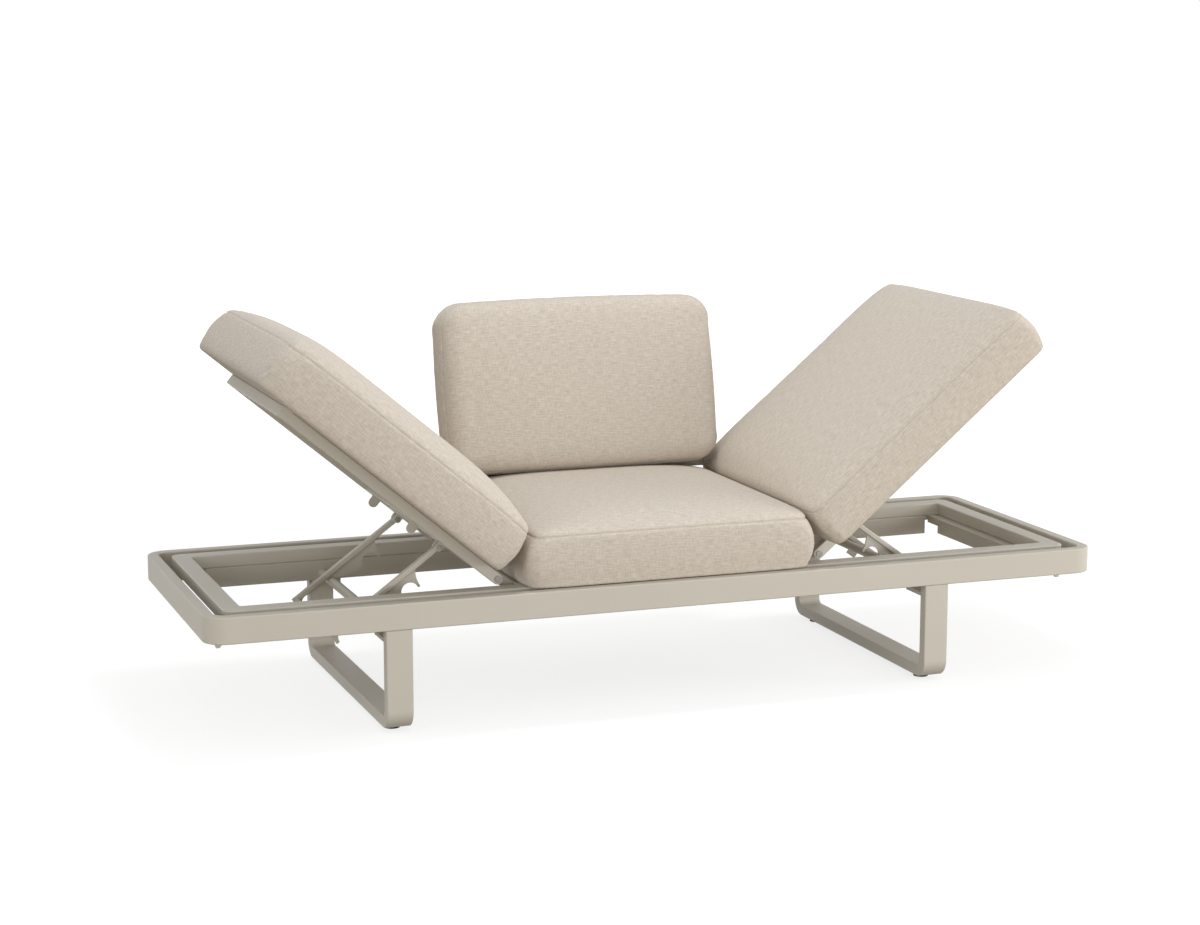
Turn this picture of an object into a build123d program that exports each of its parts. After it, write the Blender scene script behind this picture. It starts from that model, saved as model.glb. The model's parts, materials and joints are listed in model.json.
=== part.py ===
"""An outdoor daybed sofa: a long tube deck on two loop legs, a seat, a back and two folding side panels.

The sofa stands on z = 0 with x along its length and y from front to back. Every piece is placed
about the middle of the deck, and is moved at the end so that the origin is under the middle of
the whole sofa. The side panels are shown raised, each resting on its pair of notched stays.
"""

import os
from math import cos, radians, sin, tan

from build123d import *

os.makedirs("parts", exist_ok=True)

# Outer hoop: a closed ring of flat tube
hoop_length = 2150
hoop_depth = 736
hoop_height = 60
hoop_wall = 26
hoop_corner_radius = 50
deck_height = 295
tube_wall = 2.5
edge_radius = 3
fine_edge_radius = 1.5
rest_gap = 0.3
overrun = 1

# Inner frame, set inside the hoop with a slot all round
end_slot = 25
side_slot = 31
inner_tube_width = 43
inner_tube_height = 31
inner_frame_corner_radius = 22
deck_opening_corner_radius = 8

# Lower rails, end ledges and corner tabs under the inner frame
lower_rail_end_gap = 34
lower_rail_width = 25
lower_rail_height = 48
ledge_reach = 26
ledge_width = 50
ledge_depth = 18
ledge_lip_depth = 37
ledge_lip_length = 424
ledge_thickness = 5
tab_thickness = 5
tab_height = 90
tab_tip_width = 8
tab_tip_inset = 23

# Legs: flat tube bent into a loop
leg_spacing = 1304
leg_width = 60
leg_thickness = 27
leg_corner_radius = 41
foot_height = 10
foot_radius = 17.5
foot_neck_radius = 14
foot_inset = 74
foot_stem_radius = 4
foot_stem_length = 14
stem_clearance = 0.1
leg_bracket_thickness = 9

# Seat deck
seat_tube_width = 25
seat_tube_margin = 2.7
seat_slat_width = 52
seat_slat_thickness = 12
seat_slat_count = 5

# Side panels, in their own plane, which rises from the hinge
panel_tilt = 40
hinge_offset = 42
panel_rail_height = 25.5
panel_rail_width = 25
panel_rail_gap = 4
panel_end_gap = 46.3
panel_slat_width = 40
panel_slat_thickness = 6
panel_slat_count = 5
first_slat_offset = 51
last_slat_inset = 70
hinge_bolt_radius = 4
hinge_head_radius = 8
hinge_head_height = 2.5
hinge_nut_radius = 7
hinge_nut_height = 6
bracket_thickness = 5
bracket_boss_radius = 12
bracket_foot_height = 28
side_play = 0.3
pin_clearance = 0.05

# Stays: notched props that swing under each panel
stay_pivot_run = 128
stay_pivot_drop = 23
stay_slope = 35.9
stay_spacing = 348
stay_bar_depth = 12
stay_bar_width = 16
stay_length = 312
stay_tie_radius = 6
stay_tie_inset = 8
stay_pin_radius = 3
stay_pin_head_radius = 6
stay_pin_head_height = 2
ear_thickness = 4.5
ear_radius = 9
ear_play = 0.5
guide_lug_run = 201
guide_lug_width = 23
guide_lug_drop = 25
plate_thickness = 4
plate_start = 70
notch_radius = 20.5
notch_flare = 54
first_notch_run = 110.8
first_notch_drop = 40.7
third_notch_run = 283
third_notch_drop = 27.5
claw_depth = 46
claw_width = 6
finger_depth = 21
heel_depth = 38
heel_run = 9

# Catch rods, across the deck under the side panels
catch_rod_radius = 11
catch_rod_wall = 2.5
catch_rod_run = 270.8
catch_rod_drop = 63.5

# Back frame, plugged into the rear slot
back_lean = 12.6
back_tube = 25
upright_clearance = 8
back_frame_rise = 225
back_bend_radius = 45
back_foot_bend_radius = 60
back_foot_drop = 45
socket_width = 40
socket_thickness = 5
back_cross_rail_height = 30
back_cross_rail_thickness = 12
back_cross_rail_rise = 140

# Cushions
cushion_corner_radius = 60
seat_cushion_width = 700
seat_cushion_front_gap = 11
seat_cushion_rear_gap = 19
panel_cushion_side_gap = 19
panel_cushion_start = 30
panel_cushion_overhang = 86
back_cushion_side_overhang = 2
back_cushion_height = 416
back_cushion_thickness = 140
back_cushion_corner_radius = 80
back_cushion_bottom = 152
back_cushion_rear_gap = 91
cushion_height = 162
back_crown = 8

# Where a box cushion swells and draws in, as shares of its height: rise above its base, and inset
# from its widest outline
box_cushion_rise_shares = (0, 0.13, 0.37, 0.65, 0.77, 0.88, 0.96, 1)
box_cushion_inset_shares = (0.05, 0.02, 0, 0.012, 0.075, 0.25, 0.68, 1.235)

# The corner radius is held to this share of the smaller side, where a section is small
corner_limit_share = 0.45

# The back cushion likewise, as shares of its thickness: depth from its rear face, and inset
back_cushion_depth_shares = (0, 0.07, 0.25, 0.5, 0.75, 0.93, 1)
back_cushion_inset_shares = (0.21, 0.07, 0.015, 0, 0.015, 0.085, 0.29)
back_crown_inset = 120

# Places that follow from the sizes above
hoop_bottom = deck_height - hoop_height
inner_length = hoop_length - 2 * (hoop_wall + end_slot)
inner_depth = hoop_depth - 2 * (hoop_wall + side_slot)
opening_length = inner_length - 2 * inner_tube_width
opening_depth = inner_depth - 2 * inner_tube_width
under_inner_frame = deck_height - inner_tube_height
under_lower_rails = under_inner_frame - lower_rail_height
lower_rail_length = opening_length - 2 * lower_rail_end_gap
seat_tube_face = seat_cushion_width / 2 + seat_tube_margin
seat_cushion_depth = hoop_depth - seat_cushion_front_gap - seat_cushion_rear_gap
hinge_x = seat_tube_face + hinge_offset
hinge_z = deck_height + panel_rail_height / 2 + rest_gap
catch_rod_offset = hinge_x + catch_rod_run
panel_length = hoop_length / 2 - panel_end_gap - hinge_x
panel_half_width = opening_depth / 2 - panel_rail_gap
panel_cushion_length = panel_length - panel_cushion_start + panel_cushion_overhang
panel_cushion_width = hoop_depth - 2 * panel_cushion_side_gap
back_cushion_bottom_y = hoop_depth / 2 - back_cushion_rear_gap
back_cushion_width = seat_cushion_width + 2 * back_cushion_side_overhang
back_frame_width = seat_cushion_width + 2 * (upright_clearance + back_tube)
first_slat_run = guide_lug_run + first_slat_offset
last_slat_run = panel_length - last_slat_inset
panel_slat_pitch = (last_slat_run - first_slat_run) / (panel_slat_count - 1)
rail_inner_face = panel_half_width - panel_rail_width
stay_inner_face = (stay_spacing - stay_bar_width) / 2
stay_outer_face = (stay_spacing + stay_bar_width) / 2
tilt_cos = cos(radians(panel_tilt))
tilt_sin = sin(radians(panel_tilt))
slope_cos = cos(radians(stay_slope))
slope_sin = sin(radians(stay_slope))
sides = {"right": 1, "left": -1}


def panel_plane(side):
    """Plane of a side panel: x runs up the panel from the hinge axis, z stands out of its top."""
    return Plane(
        origin=(side * hinge_x, 0, hinge_z),
        x_dir=(side * tilt_cos, 0, tilt_sin),
        z_dir=(-side * tilt_sin, 0, tilt_cos),
    )


def panel_profile_plane(side, run, rise):
    """Upright plane of a panel's side view: x runs up the panel, y stands out of its top."""
    place = panel_plane(side).from_local_coords(Vector(run, 0, rise))
    return Plane(origin=place, x_dir=(side * tilt_cos, 0, tilt_sin), z_dir=(0, -side, 0))


def stay_profile_plane(side):
    """Upright plane of a stay's side view: x runs down the bar from its pivot, y out of its top."""
    place = panel_plane(side).from_local_coords(Vector(stay_pivot_run, 0, -stay_pivot_drop))
    return Plane(origin=place, x_dir=(side * slope_cos, 0, -slope_sin), z_dir=(0, -side, 0))


def upright_plane(x, y, z):
    """Plane of the sofa's front view at a point: x along the sofa, y up."""
    return Plane(origin=(x, y, z), x_dir=(1, 0, 0), z_dir=(0, -1, 0))


def tubes(planes, width, height, length, cap):
    """Straight tubes with eased long edges, each centred on a plane and running along its normal."""
    with BuildPart() as group:
        for plane in planes:
            with BuildSketch(plane.offset(-length / 2)):
                RectangleRounded(width, height, edge_radius)
            extrude(amount=length)
            with BuildSketch(plane.offset(cap - length / 2)):
                Rectangle(width - 2 * tube_wall, height - 2 * tube_wall)
            extrude(amount=length - 2 * cap, mode=Mode.SUBTRACT)
    return group


def flat_bars(planes, width, height, length):
    """Solid flat bars with eased long edges, each centred on a plane and running along its normal."""
    with BuildPart() as group:
        for plane in planes:
            with BuildSketch(plane.offset(-length / 2)):
                RectangleRounded(width, height, fine_edge_radius)
            extrude(amount=length)
    return group


def pins(planes, shank, length, heads):
    """Headed pins: a shank centred on each plane, with a (radius, height) head past either end."""
    with BuildPart() as group:
        for plane in planes:
            with BuildSketch(plane.offset(-length / 2)):
                Circle(shank)
            extrude(amount=length)
            for end, (radius, height) in zip((-1, 1), heads):
                with BuildSketch(plane.offset(end * (length + height) / 2)):
                    Circle(radius)
                extrude(amount=height / 2, both=True)
    return group


def ring(length, depth, width, height, top, outer_radius, inner_radius):
    """A closed ring of flat tube lying level, with its upper and lower edges eased."""
    with BuildPart() as tube_ring:
        with BuildSketch(Plane.XY.offset(top - height)):
            RectangleRounded(length, depth, outer_radius)
            RectangleRounded(length - 2 * width, depth - 2 * width, inner_radius, mode=Mode.SUBTRACT)
        extrude(amount=height)
        level_edges = edges().group_by(Axis.Z)
        fillet(level_edges[-1] + level_edges[0], edge_radius)
        with BuildSketch(Plane.XY.offset(top - height + tube_wall)):
            bore_inset = 2 * tube_wall
            RectangleRounded(length - bore_inset, depth - bore_inset, outer_radius - tube_wall)
            hole_length = length - 2 * width + bore_inset
            hole_depth = depth - 2 * width + bore_inset
            RectangleRounded(hole_length, hole_depth, inner_radius + tube_wall, mode=Mode.SUBTRACT)
        extrude(amount=height - bore_inset, mode=Mode.SUBTRACT)
    return tube_ring


def loop_leg(x):
    """A leg: flat tube that runs down from the hoop, along the floor and up again."""
    height = hoop_bottom - foot_height
    inner_radius = leg_corner_radius - leg_thickness
    across = Plane.YZ.offset(x - leg_width / 2)
    with BuildPart() as leg:
        with BuildSketch(across):
            with Locations((0, hoop_bottom)):
                Rectangle(hoop_depth, height, align=(Align.CENTER, Align.MAX))
            fillet(vertices().group_by(Axis.Y)[0], leg_corner_radius)
        extrude(amount=leg_width)
        with BuildSketch(across):
            with Locations((0, hoop_bottom)):
                window = hoop_depth - 2 * leg_thickness
                Rectangle(window, height - leg_thickness, align=(Align.CENTER, Align.MAX))
            fillet(vertices().group_by(Axis.Y)[0], inner_radius)
        extrude(amount=leg_width, mode=Mode.SUBTRACT)
        side_edges = edges().group_by(Axis.X)
        top_edges = edges().group_by(Axis.Z)[-1]
        fillet((side_edges[0] + side_edges[-1]) - top_edges, edge_radius)
        with BuildSketch(across.offset(tube_wall)):
            with Locations((0, hoop_bottom - tube_wall)):
                bore_height = height - 2 * tube_wall
                Rectangle(hoop_depth - 2 * tube_wall, bore_height, align=(Align.CENTER, Align.MAX))
            fillet(vertices().group_by(Axis.Y)[0], leg_corner_radius - tube_wall)
            with Locations((0, hoop_bottom - tube_wall)):
                core_height = bore_height - leg_thickness + 2 * tube_wall
                core_width = window + 2 * tube_wall
                Rectangle(core_width, core_height, align=(Align.CENTER, Align.MAX), mode=Mode.SUBTRACT)
        extrude(amount=leg_width - 2 * tube_wall, mode=Mode.SUBTRACT)
        with BuildSketch(Plane.XY.offset(foot_height - overrun)):
            with Locations((x, foot_place), (x, -foot_place)):
                Circle(foot_stem_radius + stem_clearance)
        extrude(amount=tube_wall + 2 * overrun, mode=Mode.SUBTRACT)
    return leg


def box_cushion(plane, length, width, height):
    """A crowned box cushion on a plane: it swells above its base and draws in to its crown."""
    with BuildPart() as cushion:
        for rise_share, inset_share in zip(box_cushion_rise_shares, box_cushion_inset_shares):
            inset = inset_share * height
            smaller_side = min(length, width) - 2 * inset
            corner = min(cushion_corner_radius, corner_limit_share * smaller_side)
            with BuildSketch(plane.offset(rest_gap + rise_share * height)):
                RectangleRounded(length - 2 * inset, width - 2 * inset, corner)
        loft(ruled=True)
    return cushion


# Back cushion: it stands on the rear of the seat cushion and leans back
lean_cos = cos(radians(back_lean))
lean_sin = sin(radians(back_lean))
back_plane = Plane(
    origin=(0, back_cushion_bottom_y, deck_height + back_cushion_bottom),
    x_dir=(1, 0, 0),
    z_dir=(0, -lean_cos, lean_sin),
)
with BuildPart() as back_cushion:
    for depth_share, inset_share in zip(back_cushion_depth_shares, back_cushion_inset_shares):
        inset = inset_share * back_cushion_thickness
        with BuildSketch(back_plane.offset((depth_share - 0.5) * back_cushion_thickness)):
            with Locations((0, back_cushion_height / 2)):
                outline_width = back_cushion_width - 2 * inset
                outline_height = back_cushion_height - 2 * inset
                outline_radius = back_cushion_corner_radius
                RectangleRounded(outline_width, outline_height, outline_radius)
    with BuildSketch(back_plane.offset(back_cushion_thickness / 2 + back_crown)):
        with Locations((0, back_cushion_height / 2)):
            crown_width = back_cushion_width - 2 * back_crown_inset
            RectangleRounded(crown_width, back_cushion_height - 2 * back_crown_inset, cushion_corner_radius)
    loft(ruled=True)

# The cushion is the rearmost piece and the hoop the foremost, so the origin lies halfway between
rear_reach = back_cushion.part.bounding_box().max.Y
to_origin = Location((0, (hoop_depth / 2 - rear_reach) / 2, 0))


def finish(piece, name):
    """Label a finished piece, move it over the origin and write it."""
    piece.part.label = name
    export_step(piece.part.moved(to_origin), f"parts/{name}.step")


finish(back_cushion, "back_cushion")

# Outer hoop and inner frame
outer_hoop = ring(
    hoop_length,
    hoop_depth,
    hoop_wall,
    hoop_height,
    deck_height,
    hoop_corner_radius,
    hoop_corner_radius - hoop_wall,
)
finish(outer_hoop, "outer_hoop")

inner_frame = ring(
    inner_length,
    inner_depth,
    inner_tube_width,
    inner_tube_height,
    deck_height,
    inner_frame_corner_radius,
    deck_opening_corner_radius,
)
finish(inner_frame, "inner_frame")

# Lower rails, under the long sides of the inner frame and flush with its inner face
lower_rail_y = (opening_depth + lower_rail_width) / 2
lower_rail_z = under_inner_frame - lower_rail_height / 2
lower_rail_planes = []
for end in (-1, 1):
    place = (0, end * lower_rail_y, lower_rail_z)
    lower_rail_planes.append(Plane(origin=place, x_dir=(0, 1, 0), z_dir=(1, 0, 0)))
lower_rails = tubes(lower_rail_planes, lower_rail_width, lower_rail_height, lower_rail_length, tube_wall)
finish(lower_rails, "lower_rails")

# End ledges: an angle under each end of the inner frame, with a deeper lip over its middle
ledge_face = opening_length / 2 - ledge_reach
with BuildPart() as end_ledges:
    for side in sides.values():
        with BuildSketch(Plane.XY.offset(under_inner_frame - ledge_thickness)):
            with Locations((side * (ledge_face + ledge_width / 2), 0)):
                Rectangle(ledge_width, opening_depth)
        extrude(amount=ledge_thickness)
        for depth, length in ((ledge_depth, opening_depth), (ledge_lip_depth, ledge_lip_length)):
            with BuildSketch(Plane.XY.offset(under_inner_frame - depth)):
                with Locations((side * (ledge_face + ledge_thickness / 2), 0)):
                    Rectangle(ledge_thickness, length)
            extrude(amount=depth)
finish(end_ledges, "end_ledges")

# Corner tabs: upright plates that tie the hoop to the inner frame at its corners
tab_start = ledge_face + ledge_width
tab_end = hoop_length / 2 - hoop_wall
tab_top = under_inner_frame
tab_tip = deck_height - tab_height
with BuildPart() as corner_tabs:
    for side in sides.values():
        for end in (-1, 1):
            with BuildSketch(upright_plane(0, end * (opening_depth - tab_thickness) / 2, 0)):
                with BuildLine():
                    Polyline(
                        (side * tab_start, tab_top),
                        (side * tab_end, tab_top),
                        (side * tab_end, hoop_bottom + edge_radius),
                        (side * (tab_end - tab_tip_inset + tab_tip_width), tab_tip),
                        (side * (tab_end - tab_tip_inset), tab_tip),
                        (side * tab_start, hoop_bottom),
                        close=True,
                    )
                make_face()
            extrude(amount=tab_thickness / 2, both=True)
finish(corner_tabs, "corner_tabs")

# Legs, their brackets under the lower rails, and their feet
foot_place = hoop_depth / 2 - foot_inset
for name, side in sides.items():
    finish(loop_leg(side * leg_spacing / 2), f"leg_{name}")

bracket_end = hoop_depth / 2 - leg_thickness
with BuildPart() as leg_brackets:
    with BuildSketch(Plane.XY.offset(under_lower_rails - leg_bracket_thickness)):
        bracket_length = bracket_end - opening_depth / 2
        for side in sides.values():
            for end in (-1, 1):
                with Locations((side * leg_spacing / 2, end * (bracket_end - bracket_length / 2))):
                    Rectangle(leg_width, bracket_length)
    extrude(amount=leg_bracket_thickness)
finish(leg_brackets, "leg_brackets")

with BuildPart() as foot_glides:
    for side in sides.values():
        for end in (-1, 1):
            foot = (side * leg_spacing / 2, end * foot_place)
            with BuildSketch():
                with Locations(foot):
                    Circle(foot_radius)
            extrude(amount=foot_height / 2)
            with BuildSketch(Plane.XY.offset(foot_height / 2)):
                with Locations(foot):
                    Circle(foot_radius)
            with BuildSketch(Plane.XY.offset(foot_height)):
                with Locations(foot):
                    Circle(foot_neck_radius)
            loft()
            with BuildSketch(Plane.XY.offset(foot_height)):
                with Locations(foot):
                    Circle(foot_stem_radius)
            extrude(amount=foot_stem_length)
finish(foot_glides, "foot_glides")

# Seat: a cross tube at each side, with slats from one to the other
seat_tube_z = deck_height - inner_tube_height / 2
seat_tube_planes = []
for side in sides.values():
    place = (side * (seat_tube_face - seat_tube_width / 2), 0, seat_tube_z)
    seat_tube_planes.append(Plane(origin=place, x_dir=(1, 0, 0), z_dir=(0, 1, 0)))
seat_cross_tubes = tubes(seat_tube_planes, seat_tube_width, inner_tube_height, opening_depth, 0)
finish(seat_cross_tubes, "seat_cross_tubes")

seat_slat_length = 2 * (seat_tube_face - seat_tube_width)
seat_slat_pitch = opening_depth / seat_slat_count
seat_slat_z = deck_height - seat_slat_thickness / 2
seat_slat_planes = []
for number in range(seat_slat_count):
    y = (number - (seat_slat_count - 1) / 2) * seat_slat_pitch
    seat_slat_planes.append(Plane(origin=(0, y, seat_slat_z), x_dir=(0, 1, 0), z_dir=(1, 0, 0)))
seat_slats = flat_bars(seat_slat_planes, seat_slat_width, seat_slat_thickness, seat_slat_length)
finish(seat_slats, "seat_slats")

# Seat cushion
seat_cushion_y = seat_cushion_front_gap + (seat_cushion_depth - hoop_depth) / 2
seat_plane = Plane((0, seat_cushion_y, deck_height))
seat_cushion = box_cushion(seat_plane, seat_cushion_width, seat_cushion_depth, cushion_height)
finish(seat_cushion, "seat_cushion")

# Catch rods: round tube from one lower rail to the other
with BuildPart() as catch_rods:
    for side in sides.values():
        rod_centre = (side * catch_rod_offset, 0, deck_height - catch_rod_drop)
        with BuildSketch(upright_plane(*rod_centre)):
            Circle(catch_rod_radius)
            Circle(catch_rod_radius - catch_rod_wall, mode=Mode.SUBTRACT)
        extrude(amount=opening_depth / 2, both=True)
finish(catch_rods, "catch_rods")

# Hinge brackets: plates on the seat cross tubes, just inside the panel rails
bracket_y = rail_inner_face - side_play - bracket_thickness / 2
with BuildPart() as hinge_brackets:
    for side in sides.values():
        for end in (-1, 1):
            with BuildSketch(upright_plane(0, end * bracket_y, 0)):
                with Locations((side * hinge_x, hinge_z)):
                    Circle(bracket_boss_radius)
                with BuildLine():
                    Polyline(
                        (side * seat_tube_face, deck_height - bracket_foot_height),
                        (side * seat_tube_face, deck_height - edge_radius),
                        (side * hinge_x, hinge_z + bracket_boss_radius),
                        (side * hinge_x, hinge_z - bracket_boss_radius),
                        close=True,
                    )
                make_face()
                with Locations((side * hinge_x, hinge_z)):
                    Circle(hinge_bolt_radius + pin_clearance, mode=Mode.SUBTRACT)
            extrude(amount=bracket_thickness / 2, both=True)
finish(hinge_brackets, "hinge_brackets")

# Hinge bolts, through each rail and its bracket, with a low head outside and a nut inside
bolt_start = rail_inner_face - side_play - bracket_thickness
bolt_end = panel_half_width + side_play
bolt_planes = []
for side in sides.values():
    for end in (-1, 1):
        place = (side * hinge_x, end * (bolt_start + bolt_end) / 2, hinge_z)
        bolt_planes.append(Plane(origin=place, x_dir=(1, 0, 0), z_dir=(0, end, 0)))
nut = (hinge_nut_radius, hinge_nut_height)
head = (hinge_head_radius, hinge_head_height)
hinge_bolts = pins(bolt_planes, hinge_bolt_radius, bolt_end - bolt_start, (nut, head))
finish(hinge_bolts, "hinge_bolts")

# Back frame: two uprights that plug into the rear slot, lean with the cushion and turn inward
back_face_y = back_cushion_bottom_y + (back_cushion_thickness / 2 + rest_gap) / lean_cos
back_face_y -= back_cushion_bottom * tan(radians(back_lean))
upright_y = back_face_y + back_tube / 2 / lean_cos
upright_x = (back_frame_width - back_tube) / 2
lean_rise = back_frame_rise - back_tube / 2
upright_top_y = upright_y + lean_rise * tan(radians(back_lean))
upright_end_x = upright_x - back_bend_radius - back_tube
with BuildPart() as back_uprights:
    for side in sides.values():
        foot = Vector(side * upright_x, upright_y, deck_height - back_foot_drop)
        with BuildLine() as upright_path:
            FilletPolyline(
                foot,
                (side * upright_x, upright_y, deck_height),
                (side * upright_x, upright_top_y, deck_height + lean_rise),
                (side * upright_end_x, upright_top_y, deck_height + lean_rise),
                radius=(back_foot_bend_radius, back_bend_radius),
            )
        with BuildSketch(Plane(origin=foot, x_dir=(1, 0, 0), z_dir=(0, 0, 1))):
            RectangleRounded(back_tube, back_tube, edge_radius)
        sweep(path=upright_path.line)
finish(back_uprights, "back_uprights")

top_rail_planes = [
    Plane(
        origin=(0, upright_top_y, deck_height + lean_rise),
        x_dir=(0, lean_cos, -lean_sin),
        z_dir=(1, 0, 0),
    )
]
back_top_rail = tubes(top_rail_planes, back_tube, back_tube, 2 * upright_end_x, 0)
finish(back_top_rail, "back_top_rail")

cross_rail_y = back_face_y + back_cross_rail_rise * tan(radians(back_lean))
cross_rail_y += back_cross_rail_thickness / 2 / lean_cos
cross_rail_planes = [
    Plane(
        origin=(0, cross_rail_y, deck_height + back_cross_rail_rise),
        x_dir=(0, lean_cos, -lean_sin),
        z_dir=(1, 0, 0),
    )
]
cross_rail_length = back_frame_width - 2 * back_tube
back_cross_rail = flat_bars(
    cross_rail_planes, back_cross_rail_thickness, back_cross_rail_height, cross_rail_length
)
finish(back_cross_rail, "back_cross_rail")

# Back sockets: plates under the rear slot that carry the feet of the back frame
socket_front = opening_depth / 2 + lower_rail_width
socket_rear = hoop_depth / 2 - hoop_wall
with BuildPart() as back_sockets:
    with BuildSketch(Plane.XY.offset(deck_height - back_foot_drop - socket_thickness)):
        for side in sides.values():
            with Locations((side * upright_x, (socket_front + socket_rear) / 2)):
                Rectangle(socket_width, socket_rear - socket_front)
    extrude(amount=socket_thickness)
finish(back_sockets, "back_sockets")


def panel_rails(side):
    """The two long rails of a side panel, round at the hinge and drilled for its bolts."""
    end_run = panel_length - panel_rail_width
    bore_start = panel_rail_height
    with BuildPart() as rails:
        for end in (-1, 1):
            middle = end * (panel_half_width - panel_rail_width / 2)
            with BuildSketch(panel_profile_plane(side, 0, 0).offset(middle)):
                Circle(panel_rail_height / 2)
                with Locations((end_run / 2, 0)):
                    Rectangle(end_run, panel_rail_height)
            extrude(amount=panel_rail_width / 2, both=True)
        long_edges = edges().filter_by(GeomType.LINE).filter_by(lambda edge: edge.length > end_run / 2)
        fillet(long_edges, edge_radius)
        for end in (-1, 1):
            middle = end * (panel_half_width - panel_rail_width / 2)
            with BuildSketch(panel_profile_plane(side, 0, 0).offset(middle)):
                with Locations(((bore_start + end_run) / 2, 0)):
                    Rectangle(end_run - bore_start, panel_rail_height - 2 * tube_wall)
            extrude(amount=panel_rail_width / 2 - tube_wall, both=True, mode=Mode.SUBTRACT)
            with BuildSketch(panel_profile_plane(side, 0, 0).offset(middle)):
                Circle(hinge_bolt_radius + pin_clearance)
            extrude(amount=panel_rail_width / 2 + overrun, both=True, mode=Mode.SUBTRACT)
    return rails


def across_panel(side, run, rise):
    """Plane of a bar that lies across a panel: x up the panel, y out of its top."""
    place = panel_plane(side).from_local_coords(Vector(run, 0, rise))
    return Plane(origin=place, x_dir=(side * tilt_cos, 0, tilt_sin), z_dir=(0, -side, 0))


def stay_ears(side):
    """Pairs of ears under a panel that hold the pivot pins of its stays."""
    pivot_plane = panel_profile_plane(side, stay_pivot_run, -stay_pivot_drop)
    ear_height = stay_pivot_drop - panel_rail_height / 2
    with BuildPart() as ears:
        for end in (-1, 1):
            for face, out in ((stay_inner_face, -1), (stay_outer_face, 1)):
                middle = end * (face + out * (ear_play + ear_thickness / 2))
                with BuildSketch(pivot_plane.offset(middle)):
                    Circle(ear_radius)
                    with Locations((0, ear_height / 2)):
                        Rectangle(2 * ear_radius, ear_height)
                    Circle(stay_pin_radius + pin_clearance, mode=Mode.SUBTRACT)
                extrude(amount=ear_thickness / 2, both=True)
    return ears


def guide_lugs(side):
    """Round-ended lugs under a panel, one beside each stay, that keep the folded stays in line."""
    lug_radius = guide_lug_width / 2
    lug_reach = guide_lug_drop - lug_radius
    with BuildPart() as lugs:
        for end in (-1, 1):
            middle = end * (stay_inner_face - ear_play - ear_thickness / 2)
            tip = panel_profile_plane(side, guide_lug_run, -panel_rail_height / 2 - lug_reach)
            with BuildSketch(tip.offset(middle)):
                Circle(lug_radius)
                with Locations((0, lug_reach / 2)):
                    Rectangle(guide_lug_width, lug_reach)
            extrude(amount=ear_thickness / 2, both=True)
    return lugs


def stay_bars(side):
    """The two bars of a side's stays, round and drilled at the pivot."""
    with BuildPart() as bars:
        for end in (-1, 1):
            with BuildSketch(stay_profile_plane(side).offset(end * stay_spacing / 2)):
                Circle(stay_bar_depth / 2)
                with Locations((stay_length / 2, 0)):
                    Rectangle(stay_length, stay_bar_depth)
                Circle(stay_pin_radius + pin_clearance, mode=Mode.SUBTRACT)
            extrude(amount=stay_bar_width / 2, both=True)
        long_edges = edges().filter_by(GeomType.LINE).filter_by(lambda edge: edge.length > stay_length / 2)
        fillet(long_edges, edge_radius)
    return bars


def rod_in_stay(side):
    """Where the catch rod lies in a stay's side view."""
    rod_centre = Vector(side * catch_rod_offset, 0, deck_height - catch_rod_drop)
    return stay_profile_plane(side).to_local_coords(rod_centre)


def notch(centre_run, centre_drop, start_drop, end_drop):
    """Ends and crown of a notch arc about a centre, from the pivot side to the far side."""
    start_run = centre_run - (notch_radius**2 - (start_drop - centre_drop) ** 2) ** 0.5
    end_run = centre_run + (notch_radius**2 - (end_drop - centre_drop) ** 2) ** 0.5
    start = (start_run, -start_drop)
    crown = (centre_run, notch_radius - centre_drop)
    return start, crown, (end_run, -end_drop)


def catch_plates(side):
    """Plates under a side's stay bars, each with three notches for the catch rod."""
    rod = rod_in_stay(side)
    seat_slack = notch_radius - catch_rod_radius - rest_gap
    second_run = rod.X + seat_slack * cos(radians(notch_flare))
    second_drop = -rod.Y + seat_slack * sin(radians(notch_flare))
    first = notch(first_notch_run, first_notch_drop, claw_depth - claw_width / 2, first_notch_drop)
    second = notch(second_run, second_drop, finger_depth, second_drop)
    third = notch(third_notch_run, third_notch_drop, third_notch_drop, third_notch_drop)
    claw_back = first[0][0] - claw_width
    bar_face = -stay_bar_depth / 2
    with BuildPart() as plates:
        for end in (-1, 1):
            with BuildSketch(stay_profile_plane(side).offset(end * stay_spacing / 2)):
                with BuildLine():
                    back_middle = ((plate_start + claw_back) / 2 + claw_width / 2, -claw_depth / 2)
                    ThreePointArc((plate_start, bar_face), back_middle, (claw_back, first[0][1]))
                    claw_tip = (claw_back + claw_width / 2, first[0][1] - claw_width / 2)
                    ThreePointArc((claw_back, first[0][1]), claw_tip, first[0])
                    ThreePointArc(*first)
                    Line(first[2], (first[2][0] + heel_run, first[2][1]))
                    Line((first[2][0] + heel_run, first[2][1]), second[0])
                    ThreePointArc(*second)
                    Line(second[2], (second[2][0], -heel_depth))
                    Line((second[2][0], -heel_depth), (third[0][0], -heel_depth))
                    Line((third[0][0], -heel_depth), third[0])
                    ThreePointArc(*third)
                    Line(third[2], (stay_length, third[2][1]))
                    Line((stay_length, third[2][1]), (stay_length, bar_face))
                    Line((stay_length, bar_face), (plate_start, bar_face))
                make_face()
            extrude(amount=plate_thickness / 2, both=True)
    return plates


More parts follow.
